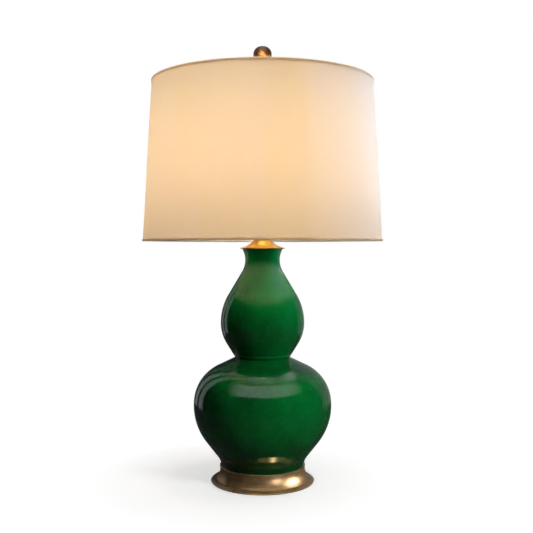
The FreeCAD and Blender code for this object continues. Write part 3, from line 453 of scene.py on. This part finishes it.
# Narrow beams that show only in the polish of the base and the finial: the spot that each one meets, the
# azimuth and elevation of its lamp from there, its power and its tint.
BASE_SPOTS = [(0.025, -0.074, 0.0195), (0.052, -0.060, 0.0143)]
FINIAL_SPOT = (0.0, -0.0160, 0.7700)
WARM = (1.0, 0.72, 0.36)
SPARKS = [
    (BASE_SPOTS[0], 37.5, 6.0, 0.0031, WHITE),
    (BASE_SPOTS[1], 85.0, 17.0, 0.0150, WHITE),
    (FINIAL_SPOT, -16.0, -1.0, 0.0060, WARM),
    (FINIAL_SPOT, 28.0, -1.0, 0.0060, WARM),
]
SPARK_REACH = 1.2
SPARK_SIZE = (0.05, 0.05)
SPARK_BEAM = 3.0


def sparks():
    """The narrow beams, which matt surfaces don't show."""
    for count, (spot, azimuth, elevation, power, tint) in enumerate(SPARKS):
        where = toward(azimuth, elevation, SPARK_REACH, spot)
        lamp = area_light("spark_%d" % count, where, spot, SPARK_SIZE, power, tint, SPARK_BEAM)
        lamp.visible_glossy = True
        lamp.visible_diffuse = False


# ---- what the glaze and the metal mirror ----

def reflected(name, corners, tone, one_sided=False):
    """A panel that only reflections show. It throws no light and no shadow."""
    material, tree = new_material(name)
    strength = 1.0
    if one_sided:
        behind = put(tree, "NewGeometry", {}).node.outputs["Backfacing"]
        strength = math_node(tree, "SUBTRACT", 1.0, behind)
    close(material, put(tree, "Emission", {"Color": colour(*tone), "Strength": strength}))
    piece = stage_mesh(name, corners, material)
    piece.visible_camera = piece.visible_diffuse = piece.visible_shadow = False
    piece.visible_transmission = piece.visible_volume_scatter = False


def sector(start, width, inner, outer):
    """The corners of a piece of a ring, whose edges are given as radius and height."""
    turns = ((inner, 0), (inner, width), (outer, width), (outer, 0))
    return [on_ring(start + side, *edge) for edge, side in turns]


# The tent round the lamp, as reflections show it: where each wall starts and stops in degrees, its top and
# its tone. The wall in front is the lowest, so more of the white studio shows above it.
TENT_R = 0.90
TENT_STEP = 6              # degrees that one panel of a wall covers
TENT_TINT = (1.0, 1.03, 1.08)
TENT_WALLS = [
    (-180, -158, 3.0, 0.03), (-150, -143, 3.0, 0.03), (-143, -131, 3.0, 0.45), (-131, -124, 3.0, 0.04),
    (-124, -110, 3.0, 0.60), (-110, -60, 3.0, 0.012), (-60, 66, 1.2, 0.012), (66, 112, 3.0, 0.012),
    (112, 180, 3.0, 0.26), (-158, -150, 3.0, 0.10),
]
TENT_FLOOR_R = 0.0945      # radius at which the tent's dark floor starts
TENT_FLOOR_Z = 0.001
TENT_FLOOR_STEP = 12
TENT_FLOOR_TONE = 0.04
# A panel below the shade, facing down, that only the lower gourd's shoulder reflects: its edges (radius,
# height), its arc, its brightest tone, and the degrees over which it fades at either end.
PATCH = [(0.15, 0.307), (0.42, 0.400)]
PATCH_ARC = (-60, 72)
PATCH_TONE = 1.6
PATCH_FADE = 30
PATCH_TINT = (1.0, 1.02, 1.02)


def tent():
    """The tent's walls and floor, and the panel below the shade."""
    for count, (start, stop, top, tone) in enumerate(TENT_WALLS):
        steps = max(1, round((stop - start) / TENT_STEP))
        for step in range(steps):
            ends = [toward(start + (stop - start) * (step + side) / steps, 0, TENT_R) for side in (0, 1)]
            corners = [ends[0], ends[1], ends[1] + Vector((0, 0, top)), ends[0] + Vector((0, 0, top))]
            reflected("tent_%d_%d" % (count, step), corners, scaled(TENT_TINT, tone))
    for step in range(0, 360, TENT_FLOOR_STEP):
        ring = sector(step, TENT_FLOOR_STEP, (TENT_FLOOR_R, TENT_FLOOR_Z), (TENT_R, TENT_FLOOR_Z))
        reflected("tent_floor_%d" % step, ring, scaled(WHITE, TENT_FLOOR_TONE))
    first, last = PATCH_ARC
    for step in range(first, last, TENT_STEP):
        tone = PATCH_TONE * min(1.0, (step + TENT_STEP - first) / PATCH_FADE, (last - step) / PATCH_FADE)
        reflected("tent_patch_%d" % (step + 360), sector(step, TENT_STEP, *PATCH), scaled(PATCH_TINT, tone),
                  one_sided=True)


# A painted reflection: a glowing oval just above the gilding, which only reflections show, stands in for the
# lit gilding as the underside of the lower gourd mirrors it. Its middle radius, half width, height and arc,
# and how its brightness rises from the edge tone to its peak.
GLEAM_R = 0.0925
GLEAM_HALF = 0.0042
GLEAM_Z = 0.033
GLEAM_ARC = (-8, 36)
GLEAM_STEP = 2
GLEAM_EDGE_TONE = 1.0
GLEAM_RISE = 12.0
GLEAM_PEAK = 15.0          # azimuth
GLEAM_PEAK_WIDTH = 4.0     # degrees
GLEAM_TINT = (1.0, 0.70, 0.30)


def gleam():
    """The painted reflection's oval, in narrow panels side by side that face up."""
    middle = sum(GLEAM_ARC) / 2

    def edge(azimuth, way):
        along = (azimuth - middle) / (GLEAM_ARC[1] - middle)
        half = GLEAM_HALF * math.sqrt(max(0.0, 1 - along * along))
        return on_ring(azimuth, GLEAM_R + way * half, GLEAM_Z)

    for start in range(*GLEAM_ARC, GLEAM_STEP):
        stop = start + GLEAM_STEP
        corners = [edge(start, 1), edge(stop, 1), edge(stop, -1), edge(start, -1)]
        away = (start + GLEAM_STEP / 2 - GLEAM_PEAK) / GLEAM_PEAK_WIDTH
        tone = GLEAM_EDGE_TONE + GLEAM_RISE * math.exp(-away ** 2)
        reflected("gleam_%d" % (start + 360), corners, scaled(GLEAM_TINT, tone), one_sided=True)


def camera():
    """The photograph's camera, pointed slightly down."""
    lens = bpy.data.cameras.new("photo")
    lens.sensor_width = SENSOR_MM
    lens.lens = FOCAL / PHOTO_WIDTH * SENSOR_MM
    lens.shift_x = AXIS_OFFSET / PHOTO_WIDTH
    holder = bpy.data.objects.new("photo", lens)
    bpy.context.scene.collection.objects.link(holder)
    holder.location = (0, -CAMERA_BACK, CAMERA_HEIGHT)
    holder.rotation_euler = (math.pi / 2 - CAMERA_PITCH, 0, 0)
    bpy.context.scene.camera = holder


camera()
dress_nodes()
floor()
world()
lights()
tent()
sparks()
gleam()
bpy.context.scene.view_settings.view_transform = "Standard"
